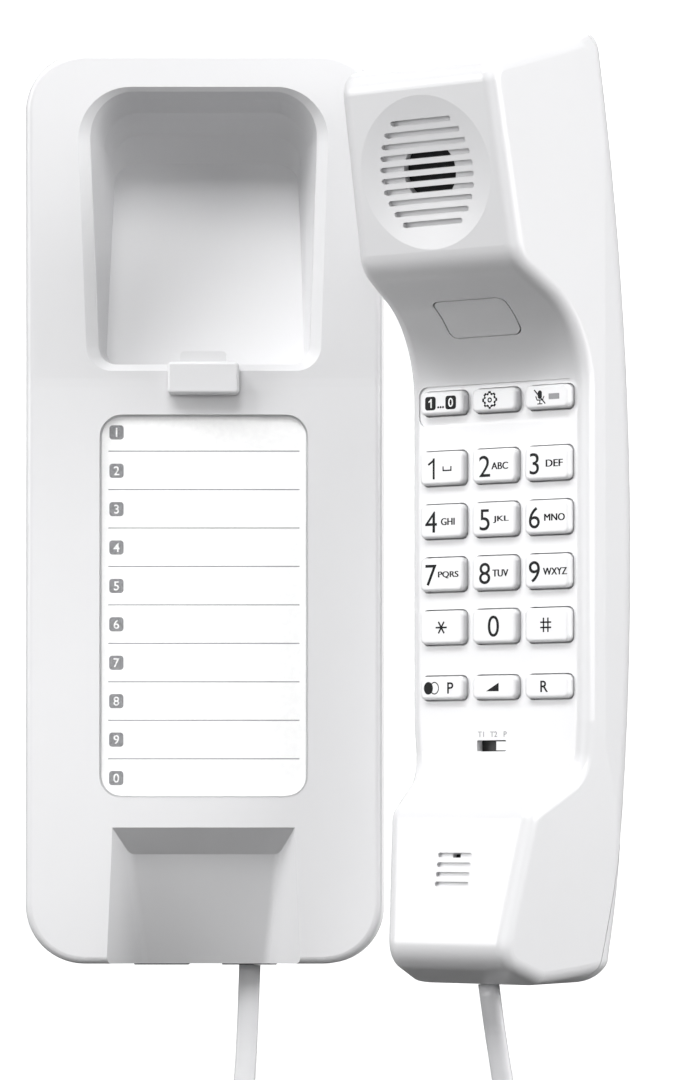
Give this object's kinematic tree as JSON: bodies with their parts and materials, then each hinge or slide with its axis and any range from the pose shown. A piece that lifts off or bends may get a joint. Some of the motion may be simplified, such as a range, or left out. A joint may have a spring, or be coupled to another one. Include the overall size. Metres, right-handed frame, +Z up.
{
  "type": "corded wall telephone",
  "caption": "Slim corded wall telephone: moulded base with an earpiece well, a hook tab and a directory card, and a keypad handset on a curly cord.",
  "frame": {"origin": "middle of the two wall keyholes, on the wall plane behind the base", "axes": "+Z up the wall and along the phone, -Y out of the wall, +X to the right seen from the front"},
  "size_m": [0.1318, 0.1011, 0.3834],
  "materials": {
    "shell_white": "satin gloss",
    "key_white": "satin",
    "card_paper": "matt paper",
    "window_clear": "clear",
    "board_green": "solder mask",
    "steel": "plated",
    "brass_disc": "plain",
    "jack_dark": "moulded",
    "plug_clear": "clear",
    "foot_rubber": "matt",
    "mat_rubber": "matt",
    "capsule_black": "moulded",
    "cloth_black": "woven",
    "slider_grey": "satin",
    "led_grey": "diffuse",
    "cord_white": "satin"
  },
  "bodies": {
    "base": {"base_front_shell": "shell_white", "base_rear_cover": "shell_white", "directory_card": "card_paper", "card_window": "window_clear", "base_circuit_board": "board_green", "base_weight": "steel", "ringer": "brass_disc", "line_jack": "jack_dark", "cord_jack": "jack_dark", "base_cord_plug": "plug_clear", "foot_upper": "foot_rubber", "foot_lower": "foot_rubber", "base_screw_1": "steel", "base_screw_2": "steel", "base_screw_3": "steel", "base_cord_tail": "cord_white", "cord_coil": "cord_white"},
    "tab": {"cradle_tab": "shell_white"},
    "handset": {"handset_front_shell": "shell_white", "handset_back_shell": "shell_white", "keypad_mat": "mat_rubber", "handset_circuit_board": "board_green", "hook_microswitch": "capsule_black", "receiver_gasket": "foot_rubber", "receiver_cloth": "cloth_black", "receiver_capsule": "capsule_black", "microphone_boot": "foot_rubber", "microphone_capsule": "capsule_black", "handset_weight": "steel", "dial_mode_switch_body": "capsule_black", "handset_jack": "jack_dark", "handset_cord_plug": "plug_clear", "handset_screw_1": "steel", "handset_screw_2": "steel", "handset_cord_tail": "cord_white"},
    "key_memory_body": {"key_memory": "key_white"},
    "key_settings_body": {"key_settings": "key_white"},
    "key_mute_body": {"key_mute": "key_white", "mute_led": "led_grey"},
    "key_1_body": {"key_1": "key_white"},
    "key_2_body": {"key_2": "key_white"},
    "key_3_body": {"key_3": "key_white"},
    "key_4_body": {"key_4": "key_white"},
    "key_5_body": {"key_5": "key_white"},
    "key_6_body": {"key_6": "key_white"},
    "key_7_body": {"key_7": "key_white"},
    "key_8_body": {"key_8": "key_white"},
    "key_9_body": {"key_9": "key_white"},
    "key_star_body": {"key_star": "key_white"},
    "key_0_body": {"key_0": "key_white"},
    "key_hash_body": {"key_hash": "key_white"},
    "key_redial_body": {"key_redial": "key_white"},
    "key_volume_body": {"key_volume": "key_white"},
    "key_flash_body": {"key_flash": "key_white"},
    "hook_flap": {"hook_lever": "shell_white"},
    "dial_mode": {"dial_mode_slider": "slider_grey"}
  },
  "joints": [
    {"name": "handset_swing", "type": "hinge", "parent": "base", "child": "handset", "pos_m": [0.03458, -0.04644, 0], "axis": [-0.0074, -0.0236, 0.9997], "range_deg": [-145, 0]},
    {"name": "tab_pull", "type": "slide", "parent": "base", "child": "tab", "axis": [0, -1, 0], "range_m": [0, 0.006]},
    {"name": "key_memory_press", "type": "slide", "parent": "handset", "child": "key_memory_body", "axis": [0.5736, 0.8192, 0], "range_m": [0, 0.0008], "stiffness_N_per_m": 600, "springref_m": -0.0002},
    {"name": "key_settings_press", "type": "slide", "parent": "handset", "child": "key_settings_body", "axis": [0.5736, 0.8192, 0], "range_m": [0, 0.0008], "stiffness_N_per_m": 600, "springref_m": -0.0002},
    {"name": "key_mute_press", "type": "slide", "parent": "handset", "child": "key_mute_body", "axis": [0.5736, 0.8192, 0], "range_m": [0, 0.0008], "stiffness_N_per_m": 600, "springref_m": -0.0002},
    {"name": "key_1_press", "type": "slide", "parent": "handset", "child": "key_1_body", "axis": [0.5736, 0.8192, 0], "range_m": [0, 0.0008], "stiffness_N_per_m": 600, "springref_m": -0.0002},
    {"name": "key_2_press", "type": "slide", "parent": "handset", "child": "key_2_body", "axis": [0.5736, 0.8192, 0], "range_m": [0, 0.0008], "stiffness_N_per_m": 600, "springref_m": -0.0002},
    {"name": "key_3_press", "type": "slide", "parent": "handset", "child": "key_3_body", "axis": [0.5736, 0.8192, 0], "range_m": [0, 0.0008], "stiffness_N_per_m": 600, "springref_m": -0.0002},
    {"name": "key_4_press", "type": "slide", "parent": "handset", "child": "key_4_body", "axis": [0.5736, 0.8192, 0], "range_m": [0, 0.0008], "stiffness_N_per_m": 600, "springref_m": -0.0002},
    {"name": "key_5_press", "type": "slide", "parent": "handset", "child": "key_5_body", "axis": [0.5736, 0.8192, 0], "range_m": [0, 0.0008], "stiffness_N_per_m": 600, "springref_m": -0.0002},
    {"name": "key_6_press", "type": "slide", "parent": "handset", "child": "key_6_body", "axis": [0.5736, 0.8192, 0], "range_m": [0, 0.0008], "stiffness_N_per_m": 600, "springref_m": -0.0002},
    {"name": "key_7_press", "type": "slide", "parent": "handset", "child": "key_7_body", "axis": [0.5736, 0.8192, 0], "range_m": [0, 0.0008], "stiffness_N_per_m": 600, "springref_m": -0.0002},
    {"name": "key_8_press", "type": "slide", "parent": "handset", "child": "key_8_body", "axis": [0.5736, 0.8192, 0], "range_m": [0, 0.0008], "stiffness_N_per_m": 600, "springref_m": -0.0002},
    {"name": "key_9_press", "type": "slide", "parent": "handset", "child": "key_9_body", "axis": [0.5736, 0.8192, 0], "range_m": [0, 0.0008], "stiffness_N_per_m": 600, "springref_m": -0.0002},
    {"name": "key_star_press", "type": "slide", "parent": "handset", "child": "key_star_body", "axis": [0.5736, 0.8192, 0], "range_m": [0, 0.0008], "stiffness_N_per_m": 600, "springref_m": -0.0002},
    {"name": "key_0_press", "type": "slide", "parent": "handset", "child": "key_0_body", "axis": [0.5736, 0.8192, 0], "range_m": [0, 0.0008], "stiffness_N_per_m": 600, "springref_m": -0.0002},
    {"name": "key_hash_press", "type": "slide", "parent": "handset", "child": "key_hash_body", "axis": [0.5736, 0.8192, 0], "range_m": [0, 0.0008], "stiffness_N_per_m": 600, "springref_m": -0.0002},
    {"name": "key_redial_press", "type": "slide", "parent": "handset", "child": "key_redial_body", "axis": [0.5736, 0.8192, 0], "range_m": [0, 0.0008], "stiffness_N_per_m": 600, "springref_m": -0.0002},
    {"name": "key_volume_press", "type": "slide", "parent": "handset", "child": "key_volume_body", "axis": [0.5736, 0.8192, 0], "range_m": [0, 0.0008], "stiffness_N_per_m": 600, "springref_m": -0.0002},
    {"name": "key_flash_press", "type": "slide", "parent": "handset", "child": "key_flash_body", "axis": [0.5736, 0.8192, 0], "range_m": [0, 0.0008], "stiffness_N_per_m": 600, "springref_m": -0.0002},
    {"name": "hook_press", "type": "hinge", "parent": "handset", "child": "hook_flap", "pos_m": [0.05693, -0.07483, 0.041], "axis": [0.8192, -0.5736, 0], "range_deg": [0, 8], "stiffness_Nm_per_rad": 0.02, "springref_deg": -5.73},
    {"name": "dial_mode_slide", "type": "slide", "parent": "handset", "child": "dial_mode", "axis": [-0.8192, 0.5736, 0], "range_m": [0, 0.0042]}
  ]
}
